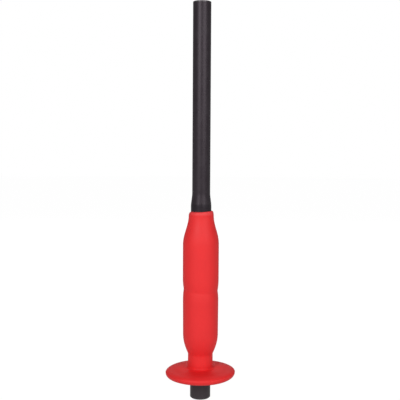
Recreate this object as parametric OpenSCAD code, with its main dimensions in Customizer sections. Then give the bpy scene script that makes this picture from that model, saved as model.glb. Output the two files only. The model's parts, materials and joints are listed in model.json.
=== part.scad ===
// Parallel pin punch with a push-on hand guard, standing on its striking face.
// The origin is the centre of the striking face, and +Z runs up the bar to the tip of the pin.

/* [Punch bar] */
// Overall length, from the striking face to the tip of the pin
total_length = 308.3; // [290:0.1:330]
// Diameter of the shank and of the striking head
shank_d = 16; // [15:0.5:16.5]
// Diameter of the pin
pin_d = 14; // [10:0.5:14.5]
// Length of the shank, from the striking face to the foot of the shoulder
shank_length = 152.5; // [150:0.5:165]
// Length of the conical shoulder between the shank and the pin
shoulder_length = 8; // [4:0.5:12]
// Chamfer around the striking face
head_chamfer = 0.8; // [0.4:0.1:2]
// Chamfer around the tip of the pin
tip_chamfer = 0.1; // [0.1:0.1:1.5]

/* [Hand guard, diameters] */
// Diameter of the disc that shields the hand
disc_d = 54.8; // [52:0.2:60]
// Outer diameter of the neck above the disc
neck_d = 19.4; // [18.6:0.2:21]
// Diameter of the lower lobe where it leaves the neck
lobe_foot_d = 27.4; // [25:0.2:28]
// Diameter of the lobes beside the waist
lobe_d = 28; // [27.2:0.2:30]
// Diameter at the bottom of the waist
waist_d = 26.9; // [25:0.1:27.2]
// Outer diameter of the wall just below the mouth
mouth_d = 19; // [18.6:0.2:20]
// Radial clearance between the bore and the shank
bore_clearance = 0.05; // [0.02:0.01:0.1]

/* [Hand guard, heights] */
// Height of the disc's lower face above the striking face
guard_height = 17.1; // [12:0.1:20]
// Thickness of the disc where it meets the neck
disc_thickness = 6.6; // [5:0.1:7.5]
// Length of the neck, from the disc's upper face to the first bend
neck_length = 11.3; // [9:0.1:13]
// Length of the bend from the neck out to the lower lobe
neck_bend = 16.5; // [15:0.1:19]
// Length of the lower lobe
lower_lobe = 27; // [25:0.5:29]
// Length of the waist
waist_length = 14.5; // [10:0.5:16]
// Length of the upper lobe
upper_lobe = 28.5; // [25:0.5:30]
// Length of the bend from the upper lobe in to the mouth
mouth_bend = 24.8; // [20:0.1:26]

/* [Hand guard, edges] */
// How far in from the rim the disc's upper face falls away to it
rim_reach = 12; // [8:0.5:13]
// Radius of the fillet between the disc and the neck
foot_fillet = 2; // [1:0.5:4]
// Height over which the wall rounds in to the bore at the mouth
lip_height = 1.3; // [0.6:0.1:2]

/* [Hidden] */

// Facets around the axis, and segments along each curve of an outline
round_facets = 96;
curve_steps = 12;

shank_r = shank_d / 2;
pin_r = pin_d / 2;
bore_r = shank_r + bore_clearance;
disc_r = disc_d / 2;
neck_r = neck_d / 2;
lobe_r = lobe_d / 2;
mouth_r = mouth_d / 2;
half_rim = disc_thickness / 2;

// Stations of the guard, each as its height above the disc's lower face
neck_top = disc_thickness + neck_length;
lower_lobe_foot = neck_top + neck_bend;
lower_lobe_top = lower_lobe_foot + lower_lobe;
waist = lower_lobe_top + waist_length / 2;
upper_lobe_foot = lower_lobe_top + waist_length;
upper_lobe_top = upper_lobe_foot + upper_lobe;
lip_foot = upper_lobe_top + mouth_bend;

// Below 1, the bend out of the neck is tighter at its foot than at its top
neck_bend_skew = 0.58;

// Smooth step from 0 to 1
function ease(t) = (1 - cos(180 * t)) / 2;

// Points of an S-bend from one [radius, height] to another.
// Each curve leaves out its last point, because what follows it starts there.
function bend(from, to, skew = 1) = [
    for (i = [0 : curve_steps - 1])
    let (t = i / curve_steps)
    [from.x + (to.x - from.x) * ease(pow(t, skew)), from.y + (to.y - from.y) * t]
];

// Points of an elliptical arc with the given half axes, from one angle to another
function arc(centre, half_axes, from, to) = [
    for (i = [0 : curve_steps - 1])
    let (angle = from + (to - from) * i / curve_steps)
    centre + [half_axes.x * cos(angle), half_axes.y * sin(angle)]
];

// Half of the bar's section, from the striking face to the tip
bar_outline = [
    [0, 0],
    [shank_r - head_chamfer, 0],
    [shank_r, head_chamfer],
    [shank_r, shank_length],
    [pin_r, shank_length + shoulder_length],
    [pin_r, total_length - tip_chamfer],
    [pin_r - tip_chamfer, total_length],
    [0, total_length],
];

// Half of the disc's section, from the foot of the bore out round the rim and in to the neck
disc_outline = concat(
    [[bore_r, 0]],
    arc([disc_r - half_rim, half_rim], [half_rim, half_rim], -90, 0),
    arc([disc_r - rim_reach, half_rim], [rim_reach, half_rim], 0, 90),
    [[disc_r - rim_reach, disc_thickness]],
    arc([neck_r + foot_fillet, disc_thickness + foot_fillet], [foot_fillet, foot_fillet], 270, 180),
    [[neck_r, disc_thickness + foot_fillet]]
);

// Half of the grip's section, from the neck up over both lobes to the mouth
grip_outline = concat(
    bend([neck_r, neck_top], [lobe_foot_d / 2, lower_lobe_foot], neck_bend_skew),
    [[lobe_foot_d / 2, lower_lobe_foot]],
    bend([lobe_r, lower_lobe_top], [waist_d / 2, waist]),
    bend([waist_d / 2, waist], [lobe_r, upper_lobe_foot]),
    [[lobe_r, upper_lobe_foot]],
    bend([lobe_r, upper_lobe_top], [mouth_r, lip_foot]),
    arc([bore_r, lip_foot], [mouth_r - bore_r, lip_height], 0, 90),
    [[bore_r, lip_foot + lip_height]]
);

// One turned steel bar: striking head, shank, shoulder and pin
module punch_bar() {
    color("#494349")
    rotate_extrude($fn = round_facets)
    polygon(bar_outline);
}

// One moulded sleeve: disc, neck, two lobes with a waist between them, and mouth
module hand_guard() {
    color("#e33b3d")
    translate([0, 0, guard_height])
    rotate_extrude($fn = round_facets)
    polygon(concat(disc_outline, grip_outline));
}

punch_bar();
hand_guard();
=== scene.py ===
import json
import math

import bmesh
import bpy
from mathutils import Matrix, Vector


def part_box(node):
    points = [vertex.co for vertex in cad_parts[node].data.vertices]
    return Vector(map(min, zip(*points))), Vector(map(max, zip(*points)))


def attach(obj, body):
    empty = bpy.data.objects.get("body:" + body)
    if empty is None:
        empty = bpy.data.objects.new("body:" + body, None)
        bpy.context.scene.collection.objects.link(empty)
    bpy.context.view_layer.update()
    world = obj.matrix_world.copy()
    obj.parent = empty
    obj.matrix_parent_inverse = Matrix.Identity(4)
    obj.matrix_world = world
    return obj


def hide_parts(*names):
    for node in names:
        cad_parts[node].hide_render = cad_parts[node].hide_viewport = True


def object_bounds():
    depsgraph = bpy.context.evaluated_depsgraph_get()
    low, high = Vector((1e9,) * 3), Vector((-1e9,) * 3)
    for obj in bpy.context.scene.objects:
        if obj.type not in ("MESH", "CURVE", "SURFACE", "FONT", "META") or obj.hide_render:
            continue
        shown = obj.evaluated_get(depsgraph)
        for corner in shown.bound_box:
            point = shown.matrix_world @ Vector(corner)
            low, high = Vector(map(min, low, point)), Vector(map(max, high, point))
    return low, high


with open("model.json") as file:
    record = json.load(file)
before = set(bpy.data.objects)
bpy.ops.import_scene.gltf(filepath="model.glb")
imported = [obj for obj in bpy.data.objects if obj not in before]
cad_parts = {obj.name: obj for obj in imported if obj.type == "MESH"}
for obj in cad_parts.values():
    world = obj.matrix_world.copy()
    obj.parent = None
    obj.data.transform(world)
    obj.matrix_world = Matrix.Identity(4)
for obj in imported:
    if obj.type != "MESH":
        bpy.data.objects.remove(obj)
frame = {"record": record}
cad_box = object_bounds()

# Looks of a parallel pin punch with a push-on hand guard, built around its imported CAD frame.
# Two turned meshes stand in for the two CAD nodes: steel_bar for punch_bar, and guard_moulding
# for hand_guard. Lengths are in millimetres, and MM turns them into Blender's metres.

MM = 0.001

# Sizes that the frame and its record hold
bar_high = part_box("punch_bar")[1] / MM
guard_low, guard_high = (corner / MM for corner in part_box("hand_guard"))
driving_pin = next(m for m in frame["record"]["mounts"] if m["name"] == "driving_pin")
TOTAL_LENGTH = bar_high.z
SHANK_R = bar_high.x
PIN_R = driving_pin["dims"]["r_mm"]
TIP_CHAMFER = TOTAL_LENGTH - driving_pin["pos_m"][2] / MM
PIN_FOOT = TOTAL_LENGTH - TIP_CHAMFER - driving_pin["dims"]["length_mm"]
GUARD_FOOT = guard_low.z
MOUTH = guard_high.z
DISC_R = guard_high.x

# The bar: its shoulder, its chamfer at the striking face, and the radii that soften its corners
SHOULDER_FOOT = PIN_FOOT - 8
HEAD_CHAMFER = 0.8
EDGE_SOFTENING = 0.1
SHOULDER_SOFTENING = 25.0

# The guard's bore, with the flares at its two ends
BORE_R = SHANK_R + 0.05
BORE_FLARE = 0.5
MOUTH_FLARE = 0.15

# The guard's disc. Its lift and sag are how far the soft rim is off level, at the +X and -X
# sides and at the front.
DISC_THICKNESS = 6.6
DISC_TOP = GUARD_FOOT + DISC_THICKNESS
RIM_REACH = 12.0
DISC_LIFT = 0.35
DISC_SAG = 0.12
UNDERSIDE_DISH = 0.6

# The guard's neck, with the fillet at its foot, and its lobes
FOOT_FILLET = 2.0
NECK_FOOT = DISC_TOP + FOOT_FILLET
NECK_R = 9.7
NECK_TOP = GUARD_FOOT + 17.9
NECK_BEND_SKEW = 0.58
LOBE_FOOT_R = 13.7
LOBE_FOOT = NECK_TOP + 16.5
LOWER_LOBE_R = 13.85
UPPER_LOBE_R = 14.0

# The waist between the lobes: a wide groove with a narrower crease in it, leaning both ways
WAIST = LOBE_FOOT + 34.2
WAIST_HALF = 7.5
WAIST_DEPTH = 0.58
WAIST_SHARPNESS = 1.4
WAIST_BLUNTING = 0.12
CREASE_HALF = 2.6
CREASE_DEPTH = 0.16
WAIST_LEAN_X, WAIST_LEAN_Y = -0.7, 0.7

# The taper to the mouth, and the mouth itself, which is higher and fuller on the +X side.
# Its tilt comes in over MOUTH_REACH below it, and its bulge over BULGE_RISE above the lobe.
UPPER_LOBE_TOP = WAIST + 35.8
MOUTH_R = 9.6
MOUTH_REACH = 10.0
BULGE_RISE = 12.0
MOUTH_DROP = 0.2
MOUTH_TILT = 0.55
MOUTH_BULGE = 0.25
LIP_HEIGHT = 3.2

# The ridge along each mould seam
SEAM_HEIGHT = 0.06
SEAM_HALF_WIDTH = 0.3

# Segments along each curve of an outline, and around the axis
CURVE_STEPS = 14
AROUND = 192


# ---------------------------------------------------------------- outlines

def ease(t):
    """Smooth step from 0 to 1."""
    t = min(max(t, 0.0), 1.0)
    return (1 - math.cos(math.pi * t)) / 2


def straight(start, stop, steps):
    """Points of a straight stretch, without the last one."""
    return [tuple(a + (b - a) * i / steps for a, b in zip(start, stop)) for i in range(steps)]


def bend(start, stop, skew=1.0, steps=2 * CURVE_STEPS):
    """Points of an S-bend from one (radius, height) to another, without the last one."""
    points = []
    for i in range(steps):
        t = i / steps
        radius = start[0] + (stop[0] - start[0]) * ease(t ** skew)
        points.append((radius, start[1] + (stop[1] - start[1]) * t))
    return points


def arc(centre, half_axes, start, stop, steps=CURVE_STEPS):
    """Points of an elliptical arc between two angles in degrees, without the last one."""
    points = []
    for i in range(steps):
        angle = math.radians(start + (stop - start) * i / steps)
        points.append((centre[0] + half_axes[0] * math.cos(angle),
                       centre[1] + half_axes[1] * math.sin(angle)))
    return points


def softened(corners, steps=5):
    """Points of an outline whose corners, given as (radius, height, softening), are rounded off."""
    points = []
    for before, corner, after in zip(corners, corners[1:], corners[2:]):
        here = Vector(corner[:2])
        back = (Vector(before[:2]) - here).normalized()
        ahead = (Vector(after[:2]) - here).normalized()
        half_angle = back.angle(ahead) / 2
        reach = corner[2] / math.tan(half_angle)
        for i in range(steps + 1):
            t = i / steps
            # a quadratic curve through the corner's two tangent points
            point = ((1 - t) ** 2 * (here + back * reach) + 2 * t * (1 - t) * here
                     + t ** 2 * (here + ahead * reach))
            points.append(tuple(point))
    return [corners[0][:2], *points, corners[-1][:2]]


# ---------------------------------------------------------------- meshes

def even_angles(count):
    return [2 * math.pi * i / count for i in range(count)]


def seam_angles(count):
    """Angles that are closer together at the two mould seams, which face +X and -X."""
    near = [math.radians(degrees) for degrees in (0.3, 0.6, 0.9, 1.3)]
    extra = [seam + side * offset for seam in (0.0, math.pi) for side in (-1, 1) for offset in near]
    return sorted({round(angle % (2 * math.pi), 6) for angle in even_angles(count) + extra})


def turned(name, outline, angles, place, closed):
    """A mesh turned from an outline of (radius, height) points. place(index, angle) gives each
    point's own radius and height. A closed outline is a sleeve, and an open one starts and ends
    on the axis."""
    mesh = bmesh.new()
    rings = []  # one ring of vertices for each point of the outline
    for i, (radius, height) in enumerate(outline):
        if radius == 0:
            rings.append([mesh.verts.new((0, 0, height * MM))] * len(angles))
            continue
        ring = []
        for angle in angles:
            r, z = place(i, angle)
            ring.append(mesh.verts.new((r * MM * math.cos(angle), r * MM * math.sin(angle), z * MM)))
        rings.append(ring)
    pairs = list(zip(rings, rings[1:]))
    if closed:
        pairs.append((rings[-1], rings[0]))
    for lower, upper in pairs:
        for i in range(len(angles)):
            j = (i + 1) % len(angles)
            corners = (lower[i], lower[j], upper[j], upper[i])
            face = mesh.faces.new(list(dict.fromkeys(corners)))
            face.smooth = True
    bmesh.ops.recalc_face_normals(mesh, faces=mesh.faces)
    data = bpy.data.meshes.new(name)
    mesh.to_mesh(data)
    mesh.free()
    piece = bpy.data.objects.new(name, data)
    bpy.context.scene.collection.objects.link(piece)
    return piece


def make_bar():
    """The steel bar: striking head, shank, conical shoulder and pin."""
    outline = softened([
        (0, 0, 0),
        (SHANK_R - HEAD_CHAMFER, 0, EDGE_SOFTENING),
        (SHANK_R, HEAD_CHAMFER, EDGE_SOFTENING),
        (SHANK_R, SHOULDER_FOOT, SHOULDER_SOFTENING),
        (PIN_R, PIN_FOOT, SHOULDER_SOFTENING),
        (PIN_R, TOTAL_LENGTH - TIP_CHAMFER, TIP_CHAMFER / 2),
        (PIN_R - TIP_CHAMFER, TOTAL_LENGTH, TIP_CHAMFER / 2),
        (0, TOTAL_LENGTH, 0),
    ])
    return turned("steel_bar", outline, even_angles(AROUND), lambda i, angle: outline[i], closed=False)


def groove(height):
    """Depth of the waist: a wide V-shaped groove with a narrower crease along its bottom."""
    off = abs(height - WAIST)
    valley = max(0.0, 1 - math.hypot(off / WAIST_HALF, WAIST_BLUNTING)) ** WAIST_SHARPNESS
    return WAIST_DEPTH * valley + CREASE_DEPTH * max(0.0, 1 - off / CREASE_HALF)


def guard_outline():
    """Half of the guard's section: underside, rim, disc, neck, lobes, mouth and bore."""
    ceiling = GUARD_FOOT + UNDERSIDE_DISH
    half_rim = DISC_THICKNESS / 2
    rim_centre = GUARD_FOOT + half_rim
    dish_r = DISC_R - 2 * half_rim
    lip_foot = MOUTH - LIP_HEIGHT
    waist_foot = (LOWER_LOBE_R, WAIST - 1.2 * WAIST_HALF)
    waist_top = (UPPER_LOBE_R, WAIST + 1.2 * WAIST_HALF)
    return [
        # underside, from the bore's flare out to the rim
        *straight((BORE_R, ceiling + BORE_FLARE), (BORE_R + BORE_FLARE, ceiling), 2),
        *bend((BORE_R + BORE_FLARE, ceiling), (BORE_R + 3, ceiling), steps=3),
        *straight((BORE_R + 3, ceiling), (dish_r, GUARD_FOOT), 10),
        *straight((dish_r, GUARD_FOOT), (DISC_R - half_rim, GUARD_FOOT), 2),
        # rim, upper face of the disc, and neck
        *arc((DISC_R - half_rim, rim_centre), (half_rim, half_rim), -90, 0),
        *arc((DISC_R - RIM_REACH, rim_centre), (RIM_REACH, half_rim), 0, 90),
        *straight((DISC_R - RIM_REACH, DISC_TOP), (NECK_R + FOOT_FILLET, DISC_TOP), 5),
        *arc((NECK_R + FOOT_FILLET, NECK_FOOT), (FOOT_FILLET, FOOT_FILLET), 270, 180),
        *straight((NECK_R, NECK_FOOT), (NECK_R, NECK_TOP), 5),
        *bend((NECK_R, NECK_TOP), (LOBE_FOOT_R, LOBE_FOOT), skew=NECK_BEND_SKEW),
        # lobes and the waist between them
        *straight((LOBE_FOOT_R, LOBE_FOOT), waist_foot, 10),
        *[(radius - groove(height), height) for radius, height in straight(waist_foot, waist_top, 48)],
        *straight(waist_top, (UPPER_LOBE_R, UPPER_LOBE_TOP), 10),
        # taper, lip, and back down the bore
        *bend((UPPER_LOBE_R, UPPER_LOBE_TOP), (MOUTH_R, lip_foot)),
        *arc((BORE_R + MOUTH_FLARE, lip_foot), (MOUTH_R - BORE_R - MOUTH_FLARE, LIP_HEIGHT), 0, 90),
        *arc((BORE_R + MOUTH_FLARE, MOUTH - MOUTH_FLARE), (MOUTH_FLARE, MOUTH_FLARE), 90, 180, steps=4),
        *straight((BORE_R, MOUTH - MOUTH_FLARE), (BORE_R, ceiling + BORE_FLARE), 12),
    ]


def outward_directions(outline):
    """For each point of a closed outline, the direction straight out of the wall there."""
    directions = []
    for before, after in zip(outline[-1:] + outline, outline[1:] + outline[:1]):
        along = (Vector(after) - Vector(before)).normalized()
        directions.append((along.y, -along.x))
    return directions


def make_guard():
    """The moulded hand guard: shield disc, neck, two lobes with a grooved waist, and mouth."""
    outline = guard_outline()
    outward = outward_directions(outline)

    def place(i, angle):
        radius, height = outline[i]
        if radius < BORE_R + 0.01:
            return radius, height  # the bore stays true
        # the waist leans: it is higher on the -X side and at the back
        lean = WAIST_LEAN_X * math.cos(angle) + WAIST_LEAN_Y * math.sin(angle)
        height += lean * (1 - ease(abs(height - WAIST) / (2 * WAIST_HALF)))
        if height < NECK_FOOT:
            # the soft disc sits a little askew
            askew = DISC_LIFT * math.cos(angle) ** 3 - DISC_SAG * max(0.0, -math.sin(angle)) ** 2
            height += askew * ease((radius - NECK_R) / (DISC_R - NECK_R))
        # and so does the mouth, which is higher and fuller on the +X side
        radius += MOUTH_BULGE * max(0.0, math.cos(angle)) * ease((height - UPPER_LOBE_TOP) / BULGE_RISE)
        tilt = MOUTH_TILT * math.cos(angle) - MOUTH_DROP
        height += tilt * ease((height - MOUTH + MOUTH_REACH) / MOUTH_REACH)
        # a faint ridge where the two halves of the mould met
        off_seam = radius * abs(math.sin(angle))
        ridge = SEAM_HEIGHT * (1 - ease(off_seam / SEAM_HALF_WIDTH))
        return radius + outward[i][0] * ridge, height + outward[i][1] * ridge

    return turned("guard_moulding", outline, seam_angles(AROUND), place, closed=True)


# ---------------------------------------------------------------- materials

# Colours of the steel, of what has marked it, of a darker band on its shank, and of painted light on its
# striking end, as linear red, green, blue and alpha
OXIDE_DARK = (0.034, 0.025, 0.032, 1)
OXIDE_PALE = (0.043, 0.034, 0.041, 1)
RING_TINT = (0.051, 0.043, 0.049, 1)
# painted light on the striking end, which stands in for light from below
HEAD_PAINTED_LIGHT = (0.085, 0.076, 0.080, 1)
# a darker band on the shank, from inside the guard up to the foot of the shoulder
SHANK_DARK_BAND = (0.018, 0.014, 0.019, 1)
WORN_STEEL = (0.16, 0.15, 0.15, 1)

# Colours of the rubber likewise, with painted shade for the top of the disc and a painted highlight for
# the lip
RED_DEEP = (0.82, 0.013, 0.015, 1)
RED_BRIGHT = (0.86, 0.017, 0.019, 1)
RED_SPECK = (0.62, 0.012, 0.014, 1)
# painted shade for the top of the disc
RED_PAINTED_SHADE = (0.50, 0.006, 0.006, 1)
# painted highlight for the lip at the mouth
RED_PAINTED_HIGHLIGHT = (0.86, 0.075, 0.080, 1)


class Shading:
    """A material whose node graph is built up by short calls, in the object's own millimetres."""

    def __init__(self, name):
        self.material = bpy.data.materials.new(name)
        self.material.use_nodes = True
        self.tree = self.material.node_tree
        self.shader = self.tree.nodes["Principled BSDF"]
        metres = self.node("ShaderNodeTexCoord").outputs["Object"]
        scaled = self.node("ShaderNodeVectorMath", operation="SCALE")
        self.feed(scaled.inputs["Vector"], metres)
        scaled.inputs["Scale"].default_value = 1 / MM
        self.where = scaled.outputs["Vector"]

    def node(self, kind, **settings):
        made = self.tree.nodes.new(kind)
        for key, value in settings.items():
            setattr(made, key, value)
        return made

    def feed(self, target, value):
        """Links value to a socket, or sets it there if it is a plain number or colour."""
        if isinstance(value, bpy.types.NodeSocket):
            self.tree.links.new(value, target)
        else:
            target.default_value = value

    def noise(self, size, detail=3.0, roughness=0.5, where=None):
        """Noise from 0 to 1 whose largest features are about size across."""
        made = self.node("ShaderNodeTexNoise")
        self.feed(made.inputs["Vector"], where or self.where)
        made.inputs["Scale"].default_value = 1 / size
        made.inputs["Detail"].default_value = detail
        made.inputs["Roughness"].default_value = roughness
        return made.outputs["Fac"]

    def math(self, operation, *values):
        made = self.node("ShaderNodeMath", operation=operation)
        for socket, value in zip(made.inputs, values):
            self.feed(socket, value)
        return made.outputs[0]

    def spread(self, value, low, high, out_low=0.0, out_high=1.0):
        """Maps low to out_low and high to out_high, smoothly and no further."""
        made = self.node("ShaderNodeMapRange", interpolation_type="SMOOTHSTEP")
        self.feed(made.inputs["Value"], value)
        made.inputs["From Min"].default_value = low
        made.inputs["From Max"].default_value = high
        made.inputs["To Min"].default_value = out_low
        made.inputs["To Max"].default_value = out_high
        return made.outputs["Result"]

    def band(self, value, low, full, still_full, high, peak=1.0):
        """0 up to low, peak from full to still_full, and 0 again from high on."""
        rise = self.spread(value, low, full)
        return self.math("MULTIPLY", rise, self.spread(value, still_full, high, peak, 0.0))

    def mix(self, share, first, second):
        """A colour between first and second."""
        made = self.node("ShaderNodeMix", data_type="RGBA")
        self.feed(made.inputs["Factor"], share)
        self.feed(made.inputs["A"], first)
        self.feed(made.inputs["B"], second)
        return made.outputs["Result"]

    def bump(self, height, depth, normal=None):
        """Surface relief of the given depth, from a height between 0 and 1."""
        made = self.node("ShaderNodeBump")
        made.inputs["Strength"].default_value = 1.0
        made.inputs["Distance"].default_value = depth * MM
        self.feed(made.inputs["Height"], height)
        if normal is not None:
            self.feed(made.inputs["Normal"], normal)
        return made.outputs["Normal"]

    def radius_and_height(self):
        """Distance from the Z axis, and height."""
        split = self.node("ShaderNodeSeparateXYZ")
        self.feed(split.inputs[0], self.where)
        flat = self.node("ShaderNodeCombineXYZ")
        self.feed(flat.inputs["X"], split.outputs["X"])
        self.feed(flat.inputs["Y"], split.outputs["Y"])
        length = self.node("ShaderNodeVectorMath", operation="LENGTH")
        self.feed(length.inputs[0], flat.outputs[0])
        return length.outputs["Value"], split.outputs["Z"]


def blackened_steel():
    """Dark oxide on turned steel: mottled, finely ringed, and rubbed a little brighter on its edges."""
    look = Shading("blackened_steel")
    radius, height = look.radius_and_height()
    mottle = look.noise(9, detail=5, roughness=0.6)
    grain = look.noise(0.4, detail=2)
    profile = look.node("ShaderNodeCombineXYZ")  # without the angle, noise turns into rings
    look.feed(profile.inputs["X"], radius)
    look.feed(profile.inputs["Z"], height)
    rings = look.noise(0.5, detail=4, roughness=0.7, where=profile.outputs[0])

    oxide = look.mix(look.spread(mottle, 0.3, 0.7), OXIDE_DARK, OXIDE_PALE)
    oxide = look.mix(look.spread(rings, 0.35, 0.75, 0.0, 0.35), oxide, RING_TINT)
    # the striking end is painted paler, as painted light from below, and the shank is darker in a band
    # below the shoulder
    oxide = look.mix(look.spread(height, GUARD_FOOT - 1, GUARD_FOOT + 4, 0.45, 0.0), oxide, HEAD_PAINTED_LIGHT)
    under_guard = GUARD_FOOT + 13
    dark_band = look.band(height, under_guard, under_guard + 4, SHOULDER_FOOT - 0.3, SHOULDER_FOOT + 1.7, 0.5)
    oxide = look.mix(dark_band, oxide, SHANK_DARK_BAND)
    # oxide rubs off first at the edges of the striking face and of the tip
    head_edge = look.spread(height, 0.2, 1.6, 1.0, 0.0)
    tip_edge = look.spread(height, TOTAL_LENGTH - 1.4, TOTAL_LENGTH - 0.4)
    near_rim = look.spread(radius, PIN_R - 2.5, PIN_R - 0.5)
    edges = look.math("MULTIPLY", look.math("MAXIMUM", head_edge, tip_edge), near_rim)
    patches = look.spread(look.noise(1.6, detail=4), 0.35, 0.7, 0.1, 0.6)
    surface = look.mix(look.math("MULTIPLY", edges, patches), oxide, WORN_STEEL)

    look.feed(look.shader.inputs["Base Color"], surface)
    look.shader.inputs["Metallic"].default_value = 0.4
    look.shader.inputs["Specular IOR Level"].default_value = 0.22
    look.feed(look.shader.inputs["Roughness"], look.spread(mottle, 0.25, 0.75, 0.37, 0.45))
    look.feed(look.shader.inputs["Normal"], look.bump(grain, 0.008, look.bump(rings, 0.006)))
    return look.material


def red_elastomer():
    """Moulded red rubber: satin, with a fine matte grain and slightly uneven pigment."""
    look = Shading("red_elastomer")
    radius, height = look.radius_and_height()
    cloud = look.noise(18, detail=4, roughness=0.55)
    grain = look.noise(0.5, detail=3, roughness=0.6)
    pigment = look.mix(look.spread(cloud, 0.3, 0.7), RED_DEEP, RED_BRIGHT)
    pigment = look.mix(look.spread(grain, 0.62, 0.75, 0.0, 0.12), pigment, RED_SPECK)
    # painted shade on top of the disc: some in the corner under the neck, and a broad faint ring further
    # out
    on_disc = look.spread(height, DISC_TOP + 0.5, DISC_TOP + 5, 1.0, 0.0)
    corner = look.spread(radius, NECK_R + 0.1, NECK_R + 2.1, 0.24, 0.0)
    ring = look.band(radius, DISC_R - 12.4, DISC_R - 7.4, DISC_R - 5.9, DISC_R - 1.4, 0.14)
    painted_shade = look.math("MULTIPLY", look.math("MAXIMUM", corner, ring), on_disc)
    painted_shade = look.math("MULTIPLY", painted_shade, look.spread(cloud, 0.3, 0.7, 0.8, 1.0))
    pigment = look.mix(painted_shade, pigment, RED_PAINTED_SHADE)
    # a painted highlight along the lip at the mouth
    lip = look.spread(height, MOUTH - LIP_HEIGHT, MOUTH - LIP_HEIGHT / 2, 0.0, 0.5)
    look.feed(look.shader.inputs["Base Color"], look.mix(lip, pigment, RED_PAINTED_HIGHLIGHT))
    look.feed(look.shader.inputs["Roughness"], look.spread(cloud, 0.25, 0.75, 0.56, 0.66))
    # the top of the disc is duller than its rim and the grip
    dull = look.math("MULTIPLY", on_disc, look.spread(radius, DISC_R - 8.4, DISC_R - 2.4, 1.0, 0.0))
    look.feed(look.shader.inputs["Specular IOR Level"], look.spread(dull, 0.0, 1.0, 0.5, 0.28))
    look.feed(look.shader.inputs["Normal"], look.bump(grain, 0.02))
    return look.material


# ---------------------------------------------------------------- stage

# Soft lights: azimuth from the camera's side and elevation in degrees, then distance, width and
# height in metres, then watts. The fill is low behind the object, so that its back isn't left dark.
LEFT_LIGHT = (-30, 23, 1.35, 0.62, 0.70, 8.7)
RIGHT_LIGHT = (33, 21, 1.35, 0.95, 0.70, 8.0)
BACK_LIGHT = (180, 35, 1.5, 0.9, 0.9, 2.1)
FILL_LIGHT = (180, 8, 1.5, 0.9, 0.5, 4.5)

# Light from all round, above and below the horizon, and the floor's own glow
AMBIENT_ABOVE, AMBIENT_BELOW = 0.20, 0.55
HORIZON_BLEND = 0.3
FLOOR_GLOW = 0.98
FLOOR_DROP = 0.02

# The camera, in metres and degrees
LENS_MM = 63.0
CAMERA_AT = (-0.0009, -0.5445, 0.19037)
CAMERA_PITCH = -3.58
CAMERA_ROLL = 0.305


def make_light(name, azimuth, elevation, distance, width, height, watts):
    """A soft rectangular light aimed at the middle of the object."""
    aim = (cad_box[0] + cad_box[1]) / 2
    a, e = math.radians(azimuth), math.radians(elevation)
    away = Vector((math.sin(a) * math.cos(e), -math.cos(a) * math.cos(e), math.sin(e)))
    lamp = bpy.data.lights.new(name, "AREA")
    lamp.shape = "RECTANGLE"
    lamp.size, lamp.size_y, lamp.energy = width, height, watts
    light = bpy.data.objects.new(name, lamp)
    light.location = aim + away * distance
    light.rotation_euler = away.to_track_quat("Z", "Y").to_euler()
    bpy.context.scene.collection.objects.link(light)
    return light


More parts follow.
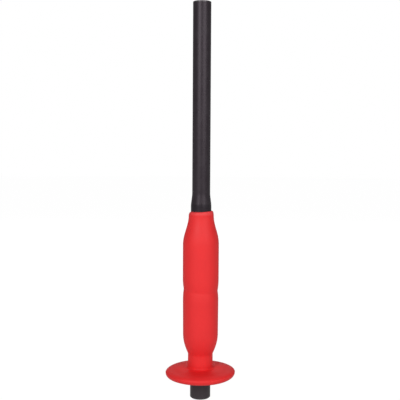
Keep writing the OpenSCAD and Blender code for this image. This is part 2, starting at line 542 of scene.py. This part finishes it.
def make_world():
    """White behind the object, and a dimmer light from all round it, more of it from below."""
    world = bpy.data.worlds.new("studio")
    bpy.context.scene.world = world
    world.use_nodes = True
    nodes, links = world.node_tree.nodes, world.node_tree.links
    nodes.clear()
    where = nodes.new("ShaderNodeTexCoord")
    split = nodes.new("ShaderNodeSeparateXYZ")
    level = nodes.new("ShaderNodeMapRange")
    ambient = nodes.new("ShaderNodeBackground")
    backdrop = nodes.new("ShaderNodeBackground")
    path = nodes.new("ShaderNodeLightPath")
    mix = nodes.new("ShaderNodeMixShader")
    output = nodes.new("ShaderNodeOutputWorld")
    level.inputs["From Min"].default_value = -HORIZON_BLEND
    level.inputs["From Max"].default_value = HORIZON_BLEND
    level.inputs["To Min"].default_value = AMBIENT_BELOW
    level.inputs["To Max"].default_value = AMBIENT_ABOVE
    ambient.inputs["Color"].default_value = (1, 1, 1, 1)
    backdrop.inputs["Color"].default_value = (1, 1, 1, 1)
    links.new(where.outputs["Generated"], split.inputs[0])
    links.new(split.outputs["Z"], level.inputs["Value"])
    links.new(level.outputs["Result"], ambient.inputs["Strength"])
    links.new(path.outputs["Is Camera Ray"], mix.inputs[0])
    links.new(ambient.outputs[0], mix.inputs[1])
    links.new(backdrop.outputs[0], mix.inputs[2])
    links.new(mix.outputs[0], output.inputs["Surface"])


def make_floor():
    """A plain white floor that glows almost white, so that it takes only a faint shadow."""
    data = bpy.data.meshes.new("floor")
    disc = bmesh.new()
    bmesh.ops.create_circle(disc, cap_ends=True, radius=6.0, segments=64)
    disc.to_mesh(data)
    disc.free()
    floor = bpy.data.objects.new("floor", data)
    bpy.context.scene.collection.objects.link(floor)
    floor.visible_diffuse = False
    floor.visible_glossy = False
    material = bpy.data.materials.new("pale_floor")
    material.use_nodes = True
    shader = material.node_tree.nodes["Principled BSDF"]
    shader.inputs["Base Color"].default_value = (0.06, 0.06, 0.06, 1)
    shader.inputs["Roughness"].default_value = 1.0
    shader.inputs["Specular IOR Level"].default_value = 0.0
    shader.inputs["Emission Color"].default_value = (1, 1, 1, 1)
    shader.inputs["Emission Strength"].default_value = FLOOR_GLOW
    data.materials.append(material)
    floor.location.z = -FLOOR_DROP * MM  # just clear of the striking face


def make_camera():
    data = bpy.data.cameras.new("camera")
    data.lens = LENS_MM
    data.sensor_width = 36.0
    data.clip_start, data.clip_end = 0.02, 20.0
    camera = bpy.data.objects.new("camera", data)
    pitch = Matrix.Rotation(math.radians(90 + CAMERA_PITCH), 4, "X")
    roll = Matrix.Rotation(math.radians(CAMERA_ROLL), 4, "Z")
    camera.matrix_world = Matrix.Translation(CAMERA_AT) @ pitch @ roll
    bpy.context.scene.collection.objects.link(camera)
    bpy.context.scene.camera = camera


make_camera()
make_world()
make_floor()
make_light("front_left", *LEFT_LIGHT)
make_light("front_right", *RIGHT_LIGHT)
make_light("back", *BACK_LIGHT)
fill = make_light("fill", *FILL_LIGHT)
fill.visible_glossy = False
fill.visible_camera = False
bpy.context.scene.view_settings.view_transform = "Standard"

bar = make_bar()
bar.data.materials.append(blackened_steel())
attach(bar, "punch")
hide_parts("punch_bar")

guard = make_guard()
guard.data.materials.append(red_elastomer())
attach(guard, "hand_guard")
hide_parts("hand_guard")
